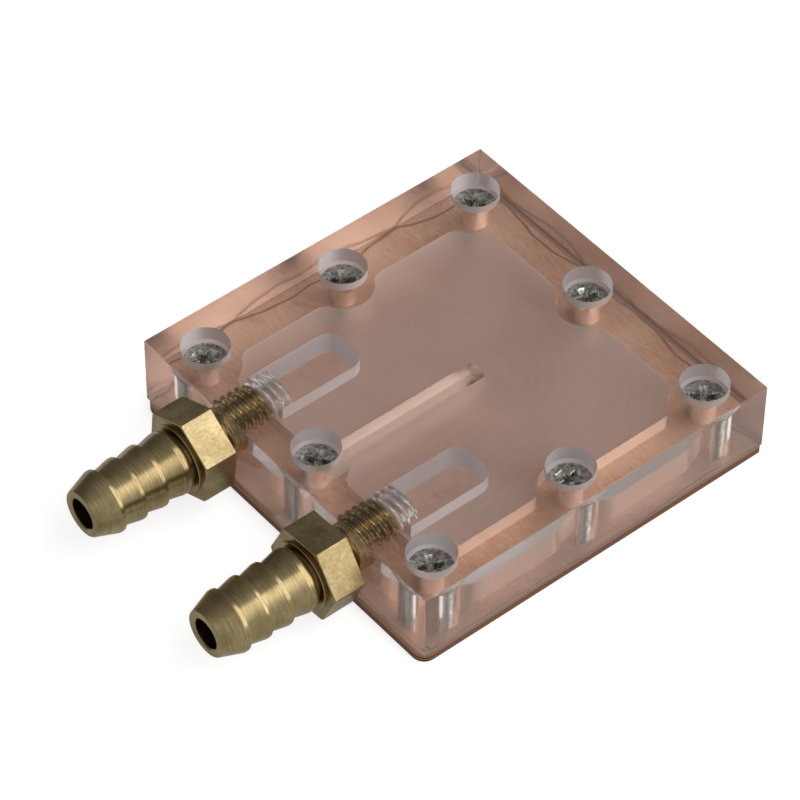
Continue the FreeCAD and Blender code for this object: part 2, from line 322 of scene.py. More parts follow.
def ease_edges(mesh):
    """Break the block's eight free edges, and sink its underside into the film of sealant."""
    shape = bmesh.new()
    shape.from_mesh(mesh)
    outer = []
    for edge in shape.edges:
        shared = on_border(edge.verts[0]) & on_border(edge.verts[1])
        if len(shared) >= 2 and (2, cover_low.z) not in shared:
            outer.append(edge)
    bmesh.ops.bevel(shape, geom=outer, offset=EDGE, segments=2, profile=0.5, affect="EDGES")
    for vert in shape.verts:
        if abs(vert.co.z - cover_low.z) < SAME:
            vert.co.z -= WETTED
    bmesh.ops.triangulate(shape, faces=shape.faces)
    shape.to_mesh(mesh)
    shape.free()
    return len(outer)


def is_underside(face):
    return face.normal.z < -0.99 and face.calc_center_median().z < cover_low.z + EDGE


def mark_joint(mesh):
    """Score four lines on the underside, so that the strip along the joint is its own faces."""
    shape = bmesh.new()
    shape.from_mesh(mesh)
    for axis in (Vector((1, 0, 0)), Vector((0, 1, 0))):
        for side in (-1, 1):
            under = [face for face in shape.faces if is_underside(face)]
            parts = set(under)
            for face in under:
                parts.update(face.edges)
                parts.update(face.verts)
            line = axis * side * (cover_high.x - PAINTED_SHADE_STRIP)
            bmesh.ops.bisect_plane(shape, geom=list(parts), plane_co=line, plane_no=axis)
    bmesh.ops.triangulate(shape, faces=shape.faces)
    shape.to_mesh(mesh)
    shape.free()


print("outer edges eased:", ease_edges(cover.data), "faces:", len(cover.data.polygons))
mark_joint(cover.data)
print("with the joint's strip marked:", len(cover.data.polygons), "faces")

# %% [markdown]
# A thread is a helix cut to a steady depth. Geometry Nodes draw it from a tube of small quads: each
# point is pulled in by a wave of its height less its share of one turn, so the wave climbs one pitch
# for each turn. The same tree makes the brass threads, the screws' threads and the tap that cuts the
# ports, so all of them have the same lead. The tree's arithmetic is written as a list of steps, one
# Math node each, that give a name to a result for the steps below them.

# %% Geometry Nodes tree for threads
CREST_SHARE = 0.0625
FLANK_SLOPE = 2.8


def thread_tree():
    """Radius, depth, pitch and the other named inputs in, and a closed threaded rod up Z out."""
    tree = bpy.data.node_groups.new("thread", "GeometryNodeTree")
    sockets = (
        ("Radius", 3.0 * MM),
        ("Depth", 0.5 * MM),
        ("Pitch", 1.0 * MM),
        ("Length", 7.0 * MM),
        ("Run Out", 0.5 * MM),
    )
    for name, default in sockets:
        socket = tree.interface.new_socket(name, in_out="INPUT", socket_type="NodeSocketFloat")
        socket.default_value = default
    for name, default in (("Segments", 64), ("Rings", 64)):
        socket = tree.interface.new_socket(name, in_out="INPUT", socket_type="NodeSocketInt")
        socket.default_value = default
    tree.interface.new_socket("Finish", in_out="INPUT", socket_type="NodeSocketMaterial")
    tree.interface.new_socket("Geometry", in_out="OUTPUT", socket_type="NodeSocketGeometry")
    size = add_node(tree, "NodeGroupInput").outputs
    tube = add_node(
        tree,
        "GeometryNodeMeshCylinder",
        {"fill_type": "NGON"},
        Vertices=size["Segments"],
        Side_Segments=size["Rings"],
        Radius=size["Radius"],
        Depth=size["Length"],
    )
    place = add_node(tree, "GeometryNodeInputPosition")
    split = add_node(tree, "ShaderNodeSeparateXYZ", Vector=place).outputs
    steps = (
        ("half", "MULTIPLY", "Length", 0.5),
        ("height", "ADD", "Z", "half"),
        ("angle", "ARCTAN2", "Y", "X"),
        ("share of a turn", "DIVIDE", "angle", 2 * math.pi),
        ("pitches up", "DIVIDE", "height", "Pitch"),
        ("climb", "SUBTRACT", "pitches up", "share of a turn"),
        ("ramp", "FRACT", "climb", 0.0),
        ("off middle", "SUBTRACT", "ramp", 0.5),
        ("saw", "ABSOLUTE", "off middle", 0.0),
        ("below crest", "SUBTRACT", "saw", CREST_SHARE),
        ("slope", "MULTIPLY", "below crest", FLANK_SLOPE),
        ("flat crest", "MAXIMUM", "slope", 0.0),
        ("flank", "MINIMUM", "flat crest", 1.0),
        ("pull", "MULTIPLY", "flank", "Depth"),
        ("to end", "SUBTRACT", "Length", "height"),
        ("into run out", "SUBTRACT", "Run Out", "to end"),
        ("point", "MAXIMUM", "into run out", 0.0),
        ("inward", "MAXIMUM", "pull", "point"),
        ("radius", "SUBTRACT", "Radius", "inward"),
        ("scale", "DIVIDE", "radius", "Radius"),
        ("new X", "MULTIPLY", "X", "scale"),
        ("new Y", "MULTIPLY", "Y", "scale"),
    )
    value = {name: size[name] for name in ("Radius", "Depth", "Pitch", "Length", "Run Out")}
    value.update({name: split[name] for name in ("X", "Y", "Z")})
    for name, operation, first, second in steps:
        value[name] = add_node(
            tree,
            "ShaderNodeMath",
            {"operation": operation},
            in_0=value[first],
            in_1=value[second] if isinstance(second, str) else second,
        )
    sides = add_node(
        tree, "ShaderNodeCombineXYZ", X=value["new X"], Y=value["new Y"], Z=value["height"]
    )
    moved = add_node(
        tree, "GeometryNodeSetPosition", Geometry=tube.outputs["Mesh"], Position=sides
    )
    real = add_node(tree, "GeometryNodeRealizeInstances", Geometry=moved)
    coat = add_node(tree, "GeometryNodeSetMaterial", Geometry=real, Material=size["Finish"])
    add_node(tree, "NodeGroupOutput", Geometry=coat)
    return tree


THREAD = thread_tree()


def set_input(modifier, name, value):
    """Set an input of a Geometry Nodes modifier by its socket's identifier."""
    for item in modifier.node_group.interface.items_tree:
        if item.item_type == "SOCKET" and item.in_out == "INPUT" and item.name == name:
            modifier[item.identifier] = value
            return
    raise KeyError(name)


def baked(name, group, **inputs):
    """The plain mesh that a Geometry Nodes tree makes with these inputs."""
    holder = new_object(name, bpy.data.meshes.new(name))
    modifier = holder.modifiers.new("shape", "NODES")
    modifier.node_group = group
    for key, value in inputs.items():
        set_input(modifier, key.replace("_", " "), value)
    depsgraph = bpy.context.evaluated_depsgraph_get()
    mesh = bpy.data.meshes.new_from_object(holder.evaluated_get(depsgraph))
    mesh.name = name
    bpy.data.objects.remove(holder)
    return mesh


# %% [markdown]
# The fittings have an M6 thread with a pitch of 1 mm. The tap that cuts the cover's ports starts at
# the same place on the axis as the thread on the brass, so the two run in step. It is a hair small,
# because the brass is screwed in with sealant and no air is left on its flanks. So the thread shows in
# the plastic as plain brass rings, and only the bare end of the tapped hole glitters.

# %% Thread sizes
M6_RADIUS = 3.0 * MM
M6_PITCH = 1.0 * MM
M6_DEPTH = 0.54 * MM
HEX_GAP = 1.7 * MM
PORT_DEPTH = 8.3 * MM
THREAD_LENGTH = 7.2 * MM
TIGHT = 0.02 * MM
RUN_OUT = 0.55 * MM
RINGS_PER_PITCH = 10
ROUND = 72


def along_port(axis):
    """Turns a mesh drawn up Z from the hexagon's back to lie along a port, into the cover."""
    start = Vector((axis.x, axis.y - HEX_GAP, axis.z))
    return Matrix.Translation(start) @ Matrix.Rotation(math.radians(-90), 4, "X")


def m6_thread(name, radius, length, run_out):
    """The mesh of an M6 thread up Z, tapered over its last run_out."""
    return baked(
        name,
        THREAD,
        Radius=radius,
        Depth=M6_DEPTH,
        Pitch=M6_PITCH,
        Length=length,
        Run_Out=run_out,
        Segments=ROUND,
        Rings=round(length / M6_PITCH * RINGS_PER_PITCH),
    )


# %% [markdown]
# Cutting is done with Boolean modifiers, which need closed meshes. The Exact solver is slower than the
# others, and keeps a fine helix clean. A lathe and a box are all the tools that the cutting needs.

# %% Boolean, lathe and box
def boolean(obj, other, operation):
    """Apply one Boolean with another mesh to an object's mesh, and delete the other."""
    modifier = obj.modifiers.new("cut", "BOOLEAN")
    modifier.operation = operation
    modifier.solver = "EXACT"
    modifier.object = other
    depsgraph = bpy.context.evaluated_depsgraph_get()
    result = bpy.data.meshes.new_from_object(obj.evaluated_get(depsgraph))
    obj.modifiers.clear()
    old = obj.data
    obj.data = result
    result.name = old.name
    bpy.data.meshes.remove(old)
    bpy.data.objects.remove(other)


def lathe(shape, profile, segments):
    """Turn (radius, height) points about Z; radius 0 closes an end."""
    rings = []
    for radius, height in profile:
        if radius == 0:
            rings.append([shape.verts.new((0, 0, height))])
            continue
        ring = []
        for step in range(segments):
            angle = 2 * math.pi * step / segments
            ring.append(shape.verts.new((radius * math.cos(angle), radius * math.sin(angle), height)))
        rings.append(ring)
    for below, above in zip(rings, rings[1:]):
        for step in range(segments):
            following = (step + 1) % segments
            if len(below) == 1:
                shape.faces.new((below[0], above[following], above[step]))
            elif len(above) == 1:
                shape.faces.new((below[step], below[following], above[0]))
            else:
                shape.faces.new(
                    (below[step], below[following], above[following], above[step])
                )


def box(shape, low, high):
    """A block between two opposite corners."""
    bmesh.ops.create_cube(shape, size=1.0)
    middle = (Vector(low) + Vector(high)) / 2
    span = Vector(high) - Vector(low)
    for vert in shape.verts:
        vert.co = Vector([vert.co[k] * span[k] + middle[k] for k in range(3)])


# %% [markdown]
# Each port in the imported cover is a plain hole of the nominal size. It is first filled with a plug up
# to the edge of the slot, and then the tap is cut out of the plug, as it is out of a drilled hole.

# %% Tapped ports
SLOT_WALL = -18.5 * MM
SLOT_CEILING = 8.2 * MM
MARGIN = 0.1 * MM

for axis in port_axes:
    near = HEX_GAP + MARGIN
    far = HEX_GAP + PORT_DEPTH + MARGIN
    fill_radius = M6_RADIUS + TIGHT
    rod = [(0, near), (fill_radius, near), (fill_radius, far), (0, far)]
    plug = new_object("plug", mesh_from("plug", lambda shape: lathe(shape, rod, ROUND)))
    plug.data.transform(along_port(axis))
    low = (axis.x - 2 * M6_RADIUS, SLOT_WALL + 0.01 * MM, 0)
    high = (axis.x + 2 * M6_RADIUS, 0, SLOT_CEILING + 0.005 * MM)
    space = new_object("space", mesh_from("space", lambda shape: box(shape, low, high)))
    boolean(plug, space, "DIFFERENCE")
    boolean(cover, plug, "UNION")
    tap = new_object("tap", m6_thread("tap", M6_RADIUS - TIGHT, HEX_GAP + PORT_DEPTH, 0.0))
    tap.data.transform(along_port(axis))
    boolean(cover, tap, "DIFFERENCE")
print("cover with tapped ports:", len(cover.data.polygons), "faces")

# %% [markdown]
# The faces are sorted by the tool that made them: polished sheet above and below, sawn sides, the
# milled channel and slots, screw holes that were drilled and then counterbored, and tapped ports. The
# strip of the underside along the joint is a sort of its own. Each sort gets a material slot.

# %% Sort the cover's faces by tool
CHANNEL_CEILING = 5.0 * MM
SLOTS_END = -5.0 * MM
DRILL_REACH = 1.7 * MM
SINK_REACH = 3.2 * MM
CLOSE = 0.1 * MM
FINISHES = (
    "polished",
    "sawn",
    "milled_floor",
    "milled_wall",
    "slot_floor",
    "slot_wall",
    "drilled",
    "counterbored",
    "tapped",
    "sealed",
)


def tool_of(face):
    """The sort of a face, told from where it lies and which way it looks."""
    centre, normal = face.center, face.normal
    flat = abs(normal.z) > 0.99
    for axis in port_axes:
        out = math.hypot(centre.x - axis.x, centre.z - axis.z)
        in_port = out < M6_RADIUS + CLOSE and centre.y < axis.y + PORT_DEPTH + CLOSE
        if in_port and abs(normal.y) < 0.999 and not flat:
            return "tapped"
    if flat and centre.z > cover_high.z - CLOSE:
        return "polished"
    rim = max(abs(centre.x), abs(centre.y))
    if flat and centre.z < cover_low.z + CLOSE:
        # The strip along the joint gets a dark finish, painted shade for the shadowed gap there.
        return "sealed" if rim > cover_high.x - PAINTED_SHADE_STRIP else "polished"
    if rim > cover_high.x - EDGE:
        return "sawn"
    if flat and abs(centre.z - CHANNEL_CEILING) < CLOSE / 2:
        return "milled_floor"
    if flat and abs(centre.z - SLOT_CEILING) < CLOSE / 2:
        return "slot_floor"
    for node in SCREW_NODES:
        low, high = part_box(node)
        middle = (low + high) / 2
        out = math.hypot(centre.x - middle.x, centre.y - middle.y)
        if out < DRILL_REACH:
            return "drilled"
        if out < SINK_REACH:
            return "counterbored"
    if centre.y < SLOTS_END and centre.z > CHANNEL_CEILING + CLOSE:
        return "slot_wall"
    return "milled_wall"


counts = dict.fromkeys(FINISHES, 0)
for face in cover.data.polygons:
    tool = tool_of(face)
    counts[tool] += 1
    face.material_index = FINISHES.index(tool)
print("faces by tool:", counts)

# %% [markdown]
# Clear acrylic bends light with an IOR of 1.49. Shadow rays can't be bent, so a Light Path node lets
# them straight through a Transparent shader, with the small loss that a real pane has. Polished
# faces are smooth and colourless. Cut faces are frosted: their roughness blurs what lies behind, a
# share called haze is scattered instead of passed, and the tint takes out what their fine grooves
# lose. On the milled walls the tan of the tint is also a painted reflection of the copper. The slot
# walls and the counterbores are the roughest cuts. The strip along the joint is painted shade: a dark
# finish that hardly lets light through and stands for the shadowed gap that runs round the joint.

# %% Clear acrylic
ACRYLIC_IOR = 1.49
RIB_END = 2.35 * MM
CUTTER_STEP = 1.5 * MM


def acrylic(name, roughness, haze, tint, relief=None):
    """A clear plastic finish; the tint is a hex colour, or a function that adds a pattern."""
    material, tree = new_material(name)
    shader = add_node(
        tree,
        "ShaderNodeBsdfPrincipled",
        Base_Color=tint(tree) if callable(tint) else paint(tint),
        Roughness=roughness,
        IOR=ACRYLIC_IOR,
        Transmission_Weight=1.0 - haze,
    )
    if relief is not None:
        tree.links.new(relief(tree).outputs[0], shader.inputs["Normal"])
    clear = add_node(tree, "ShaderNodeBsdfTransparent", Color=paint("#F2F2F2"))
    shadow = light_path_any(tree, "Is Shadow Ray")
    both = add_node(tree, "ShaderNodeMixShader", in_0=shadow, in_1=shader, in_2=clear)
    add_node(tree, "ShaderNodeOutputMaterial", Surface=both)
    return material


def cutter_paths(tree):
    """Faint rings that the end mill left as it went round the rib, as a colour for the ceiling."""
    place = add_node(tree, "ShaderNodeTexCoord").outputs["Object"]
    split = add_node(tree, "ShaderNodeSeparateXYZ", Vector=place).outputs
    past = add_node(
        tree, "ShaderNodeMath", {"operation": "SUBTRACT"}, in_0=split["Y"], in_1=RIB_END
    )
    beyond = add_node(tree, "ShaderNodeMath", {"operation": "MAXIMUM"}, in_0=past, in_1=0.0)
    offset = add_node(tree, "ShaderNodeCombineXYZ", X=split["X"], Y=beyond)
    distance = add_node(tree, "ShaderNodeVectorMath", {"operation": "LENGTH"}, in_0=offset)
    phase = add_node(
        tree,
        "ShaderNodeMath",
        {"operation": "MULTIPLY"},
        in_0=distance.outputs["Value"],
        in_1=2 * math.pi / CUTTER_STEP,
    )
    rings = add_node(tree, "ShaderNodeMath", {"operation": "SINE"}, in_0=phase)
    faint = add_node(tree, "ShaderNodeMath", {"operation": "MULTIPLY"}, in_0=rings, in_1=0.06)
    clouds = add_node(tree, "ShaderNodeTexNoise", Vector=place, Scale=0.16 / MM, Detail=4)
    soft = add_node(tree, "ShaderNodeMath", {"operation": "MULTIPLY"}, in_0=clouds, in_1=0.9)
    share = add_node(tree, "ShaderNodeMath", {"operation": "ADD"}, in_0=faint, in_1=soft)
    ends = {"in_6": paint("#EADAD2"), "in_7": paint("#CAC3C3")}
    mixed = add_node(tree, "ShaderNodeMix", {"data_type": "RGBA"}, in_0=share, **ends)
    return mixed.outputs["Result"]


def saw_marks(tree):
    """Upright scratches on the sawn sides, as relief."""
    place = add_node(tree, "ShaderNodeTexCoord").outputs["Object"]
    upright = add_node(tree, "ShaderNodeMapping", Vector=place, Scale=(1, 1, 0.06))
    streaks = add_node(tree, "ShaderNodeTexNoise", Vector=upright, Scale=1.6 / MM, Detail=3)
    return add_node(tree, "ShaderNodeBump", Height=streaks, Strength=0.25, Distance=0.03 * MM)


LOOKS = {
    "polished": (0.0, 0.0, "#FFFFFF"),
    "sawn": (0.14, 0.08, "#F2E8E2"),
    "milled_floor": (0.36, 0.16, cutter_paths),
    # The tan of this tint is partly a painted reflection of the copper seen in the milled walls.
    "milled_wall": (0.2, 0.3, "#F0DACB"),
    "slot_floor": (0.1, 0.1, "#F0E8E6"),
    "slot_wall": (0.4, 0.55, "#BDB6BA"),
    "drilled": (0.06, 0.03, "#F0ECEA"),
    "counterbored": (0.4, 0.55, "#C6C0C2"),
    "tapped": (0.3, 0.15, "#BEB4AE"),
    # Painted shade: a dark brown, nearly opaque finish for the shadowed gap along the joint.
    "sealed": (0.5, 0.8, "#7A5A48"),
}
for finish in FINISHES:
    roughness, haze, tint = LOOKS[finish]
    relief = saw_marks if finish == "sawn" else None
    cover.data.materials.append(acrylic("acrylic_" + finish, roughness, haze, tint, relief))
print("finishes on the cover:", len(cover.data.materials))

# %% [markdown]
# Round walls need smooth shading so that their facets don't show. Smooth normals bend next to a flat
# face though, which would make a clear block look wavy, so every plane is set back to flat shading.

# %% Shading, and the cover done
WIDE_WALL = 1.0 * MM * MM


def shade(obj, degrees=25):
    """Smooth shading, with hard edges kept hard."""
    for face in obj.data.polygons:
        face.use_smooth = True
    obj.data.set_sharp_from_angle(angle=math.radians(degrees))


def flatten_planes(obj, finishes):
    """Flat shading on the sheet and milled planes, and on walls wider than a facet of a curve."""
    for face in obj.data.polygons:
        along = max(abs(face.normal.x), abs(face.normal.y), abs(face.normal.z))
        kind = FINISHES[face.material_index]
        wall = kind in ("milled_wall", "slot_wall")
        if along > 0.9999 and (kind in finishes or (wall and face.area > WIDE_WALL)):
            face.use_smooth = False


shade(cover)
flatten_planes(cover, ("polished", "sawn", "milled_floor", "slot_floor"))
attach(cover, "root")
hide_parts("clear_cover")

# %% [markdown]
# ## Copper base plate
# Rolled copper sheet, scoured matt before assembly. The imported node already has the right shape, so
# it stays and only gets a material. Drawn-out noise makes the scratches and cloudy noise the stains.
# A wavy brown line near the rim is where the sealant crept to. The copper under the rib is painted
# paler, as painted light for the brighter strip seen through the rib, and it is darker round the
# rib's tip. Scoured copper shows a broad soft sheen and no mirror image.

# %% Copper
SHEET = plate_high.z - plate_low.z
RIB_TIP = Vector((0.3 * MM, 2.9 * MM, SHEET))


def bare_metal(tree, colour, roughness, height, strength, distance):
    """End a material as bare metal, with a pattern pressed into it as relief."""
    relief = add_node(tree, "ShaderNodeBump", Height=height, Strength=strength, Distance=distance)
    shader = add_node(
        tree,
        "ShaderNodeBsdfPrincipled",
        Base_Color=colour,
        Metallic=1.0,
        Roughness=roughness,
        Normal=relief,
    )
    add_node(tree, "ShaderNodeOutputMaterial", Surface=shader)


copper, tree = new_material("scoured_copper")
place = add_node(tree, "ShaderNodeTexCoord").outputs["Object"]
split = add_node(tree, "ShaderNodeSeparateXYZ", Vector=place).outputs
strokes = add_node(
    tree, "ShaderNodeMapping", Vector=place, Rotation=(0, 0, math.radians(12)), Scale=(1, 9, 1)
)
scratches = add_node(
    tree, "ShaderNodeTexNoise", Vector=strokes, Scale=0.9 / MM, Detail=3, Roughness=0.6
)
stains = add_node(
    tree, "ShaderNodeTexNoise", Vector=place, Scale=0.13 / MM, Detail=4, Roughness=0.55
)
sum_of_both = add_node(tree, "ShaderNodeMath", {"operation": "ADD"}, in_0=stains, in_1=scratches)
worn = add_node(tree, "ShaderNodeMapRange", Value=sum_of_both, From_Min=0.86, From_Max=1.36)

# %% [markdown]
# Each mark on the copper is a colour and a share, the share of that colour which is laid over what
# is below it. The shares come from distances: from the rim, from the rib's middle line, from its tip.

# %% Marks on the copper
# Each pair is where a mark has gone and where it is full.
SMEAR_WIDTH = (0.24 * MM, 0.04 * MM)
# RIB_SIDE and RIB_FRONT bound the painted light under the rib.
RIB_SIDE = (1.4 * MM, 1.3 * MM)
RIB_FRONT = (3.8 * MM, 3.5 * MM)
DARK_TIP_RADIUS = (1.2 * MM, 0.2 * MM)

beside_x = add_node(tree, "ShaderNodeMath", {"operation": "ABSOLUTE"}, in_0=split["X"])
beside_y = add_node(tree, "ShaderNodeMath", {"operation": "ABSOLUTE"}, in_0=split["Y"])
from_middle = add_node(
    tree, "ShaderNodeMath", {"operation": "MAXIMUM"}, in_0=beside_x, in_1=beside_y
)
inward = add_node(
    tree, "ShaderNodeMath", {"operation": "SUBTRACT"}, in_0=cover_high.x, in_1=from_middle
)
wander = add_node(tree, "ShaderNodeTexNoise", Vector=place, Scale=0.095 / MM, Detail=2)
swing = add_node(tree, "ShaderNodeMath", {"operation": "MULTIPLY"}, in_0=wander, in_1=4.2 * MM)
crept_to = add_node(tree, "ShaderNodeMath", {"operation": "ADD"}, in_0=swing, in_1=-1.35 * MM)
ahead = add_node(tree, "ShaderNodeMath", {"operation": "SUBTRACT"}, in_0=inward, in_1=crept_to)
off_line = add_node(tree, "ShaderNodeMath", {"operation": "ABSOLUTE"}, in_0=ahead)
from_tip = add_node(
    tree, "ShaderNodeVectorMath", {"operation": "DISTANCE"}, in_0=place, in_1=RIB_TIP
)

nearness = {}
for mark, value, (none, full) in (
    ("smear", off_line, SMEAR_WIDTH),
    ("rib side", beside_x, RIB_SIDE),
    ("rib front", split["Y"], RIB_FRONT),
    ("darker_tip", from_tip.outputs["Value"], DARK_TIP_RADIUS),
):
    nearness[mark] = add_node(
        tree, "ShaderNodeMapRange", Value=value, From_Min=none, From_Max=full
    )

share = {"worn": worn}
for mark, part in (("smear", 0.65), ("rib side", 0.65), ("darker_tip", 0.9)):
    share[mark] = add_node(
        tree, "ShaderNodeMath", {"operation": "MULTIPLY"}, in_0=nearness[mark], in_1=part
    )
# Painted light: the copper under the rib is made paler where the strip seen through the rib looks
# brighter.
share["rib"] = add_node(
    tree,
    "ShaderNodeMath",
    {"operation": "MULTIPLY"},
    in_0=share["rib side"],
    in_1=nearness["rib front"],
)
toned = paint("#DDB59E")
for mark, shade_hex in (
    ("worn", "#C09076"),
    ("smear", "#7A4526"),
    # Painted light under the rib.
    ("rib", "#E2CFC4"),
    # The copper is darker round the rib's tip.
    ("darker_tip", "#59392D"),
):
    laid = add_node(
        tree,
        "ShaderNodeMix",
        {"data_type": "RGBA"},
        in_0=share[mark],
        in_6=toned,
        in_7=paint(shade_hex),
    )
    toned = laid.outputs["Result"]
print("marks on the copper:", list(share))

# %% [markdown]
# The plate was cut from its sheet with a shear. Its edge shows that as bands up its height: a dark
# burnished zone low down and a lighter torn zone above. The bright orange line in the dark zone is a
# painted highlight, and the lighter top is partly a painted highlight along the top edge.

# %% Sheared edge
# Heights up the edge with their colours: the bright orange band is a painted highlight, and the lighter
# top is partly painted highlight.
EDGE_OXIDE_AND_HIGHLIGHT = (
    (0.0, "#41251A"),
    (0.24, "#4E2C1E"),
    (0.33, "#E0A070"),
    (0.42, "#4E2C1E"),
    (0.58, "#A07868"),
    (1.0, "#BFA091"),
)

facing = add_node(tree, "ShaderNodeNewGeometry").outputs["True Normal"]
upward = add_node(tree, "ShaderNodeSeparateXYZ", Vector=facing).outputs["Z"]
steep = add_node(tree, "ShaderNodeMapRange", Value=upward, From_Min=0.95, From_Max=0.3)
up_edge = add_node(tree, "ShaderNodeMapRange", Value=split["Z"], From_Min=0.0, From_Max=SHEET)
sheared_with_highlight = add_node(tree, "ShaderNodeValToRGB", Fac=up_edge)
bands = sheared_with_highlight.color_ramp.elements
bands[0].color = paint(EDGE_OXIDE_AND_HIGHLIGHT[0][1])
bands[1].color = paint(EDGE_OXIDE_AND_HIGHLIGHT[-1][1])
for position, shade_hex in EDGE_OXIDE_AND_HIGHLIGHT[1:-1]:
    bands.new(position).color = paint(shade_hex)
# The side faces get the edge's bands, painted highlight included.
edged_with_highlight = add_node(
    tree, "ShaderNodeMix", {"data_type": "RGBA"}, in_0=steep, in_6=toned, in_7=sheared_with_highlight
)
bare_metal(tree, edged_with_highlight.outputs["Result"], 0.58, scratches, 0.35, 0.02 * MM)
plate = frame["nodes"]["copper_base_plate"]
plate.data.materials.clear()
plate.data.materials.append(copper)
print("copper on:", plate.name)

# %% [markdown]
# ## Hose barbs
# Each fitting is turned from hexagonal brass bar. The hexagon is what is left of the bar, with the
# tips of its corners just skimmed, and its front face is flat with a low round collar on it. Then
# come a groove, the plain spigot with a rounded shoulder, three barbs and a tapered tip. The body is
# a stack of rings about the axis, and along the hexagon the radius of a ring follows the flats.

# %% Turned body of a fitting
HEX_ACROSS = 10.0 * MM
HEX_LENGTH = 4.3 * MM
HEX_CORNER = 5.72 * MM
HEX_CHAMFER = 5.6 * MM
HEX_TURNS = (23.75, 5.0)
COLLAR = 4.2 * MM
RELIEF = 3.2 * MM
GROOVE_END = 0.48 * MM
SPIGOT = 3.9 * MM
SPIGOT_END = 1.65 * MM
SHOULDER = 0.6 * MM
BARB_ROOT = 3.4 * MM
BARB_PITCH = 2.95 * MM
BARB_LAND = 0.4 * MM
TIP_LENGTH = 2.9 * MM
TIP_RADIUS = 2.9 * MM
TIP_EDGE = 0.12 * MM
BORE = 1.9 * MM


def hex_radius(angle, turn):
    """Distance from the axis to the hexagon's side, with its corners turned off round."""
    from_flat = (angle - turn) % math.radians(60) - math.radians(30)
    return min(HEX_ACROSS / 2 / math.cos(from_flat), HEX_CORNER)


def barb_outline():
    """(radius, height) of the round front end, outward from the hexagon; heights go negative."""
    front = -HEX_LENGTH
    back = front - GROOVE_END
    crest = front - SPIGOT_END
    points = [
        (COLLAR - 0.02 * MM, front),
        (COLLAR, front - 0.05 * MM),
        (COLLAR, front - 0.15 * MM),
        (COLLAR - 0.08 * MM, front - 0.22 * MM),
        (RELIEF, front - 0.24 * MM),
        (RELIEF, back),
    ]
    for step in range(6):
        angle = math.radians(18 * step)
        radius = SPIGOT - SHOULDER * (1 - math.sin(angle))
        points.append((radius, back - SHOULDER * (1 - math.cos(angle))))
    points.append((SPIGOT, crest))
    for barb in range(1, 4):
        here = crest - barb * BARB_PITCH
        land = here + BARB_LAND
        points += [
            (BARB_ROOT + 0.03 * MM, land + 0.3 * MM),
            (BARB_ROOT + 0.02 * MM, land + 0.24 * MM),
            (SPIGOT - 0.06 * MM, land + 0.03 * MM),
            (SPIGOT, land),
            (SPIGOT, here),
        ]
    end = crest - 3 * BARB_PITCH - TIP_LENGTH
    points += [
        (TIP_RADIUS + 0.02 * MM, end + TIP_EDGE),
        (TIP_RADIUS - TIP_EDGE * 0.4, end + TIP_EDGE * 0.25),
        (TIP_RADIUS - TIP_EDGE, end),
        (0, end),
    ]
    return points


def ring_angles(turn):
    """Every third degree and a few about each corner of the hexagon, without near doubles."""
    angles = [math.radians(degree) for degree in range(0, 360, 3)]
    for corner in range(6):
        for off in (-0.9, 0.0, 0.9):
            angles.append((turn + math.radians(60 * corner + off)) % (2 * math.pi))
    angles.sort()
    kept = [angles[0]]
    for angle in angles[1:]:
        if angle - kept[-1] > math.radians(0.3):
            kept.append(angle)
    return kept


def fitting_body(shape, turn):
    """Solid body of the hexagon, the spigot and the barbs, before the bore is drilled."""
    angles = ring_angles(turn)
    ease = 0.1 * MM
    slope = math.tan(math.radians(30))

    def hex_ring(inset, height, chamfered):
        ring = []
        for angle in angles:
            radius = hex_radius(angle, turn) - inset
            rise = max(0.0, radius - HEX_CHAMFER) * slope if chamfered else 0.0
            ring.append((radius, height + rise))
        return ring

    def round_ring(radius, height):
        return [(radius, height)] * len(angles)

    rings = [
        round_ring(HEX_ACROSS / 2 - 3 * ease, 0.0),
        hex_ring(ease, 0.0, False),
        hex_ring(0.3 * ease, -0.3 * ease, False),
        hex_ring(0.0, -ease, False),
        hex_ring(0.0, -HEX_LENGTH + ease, True),
        hex_ring(0.3 * ease, -HEX_LENGTH + 0.5 * ease, True),
    ]
    rings.append([(min(radius, HEX_CHAMFER) - ease, -HEX_LENGTH) for radius, _ in rings[-1]])
    rings += [round_ring(radius, height) for radius, height in barb_outline() if radius > 0]
    loops = []
    for ring in rings:
        loop = []
        for angle, (radius, height) in zip(angles, ring):
            spot = (radius * math.cos(angle), radius * math.sin(angle), height)
            loop.append(shape.verts.new(spot))
        loops.append(loop)
    count = len(angles)
    for first, second in zip(loops, loops[1:]):
        for k in range(count):
            following = (k + 1) % count
            shape.faces.new((first[k], first[following], second[following], second[k]))
    shape.faces.new(loops[0])
    shape.faces.new(list(reversed(loops[-1])))


# %% [markdown]
# The thread is joined to the body with a Boolean, by way of a short plain stub that reaches into the
# hexagon. The bore is drilled through both at the end, as it is on a lathe, and its mouth is flared.

# %% Assemble the two fittings
SEAT = 0.6 * MM
STUB = 0.3 * MM
FLARE = 0.15 * MM
PAST = 0.1 * MM


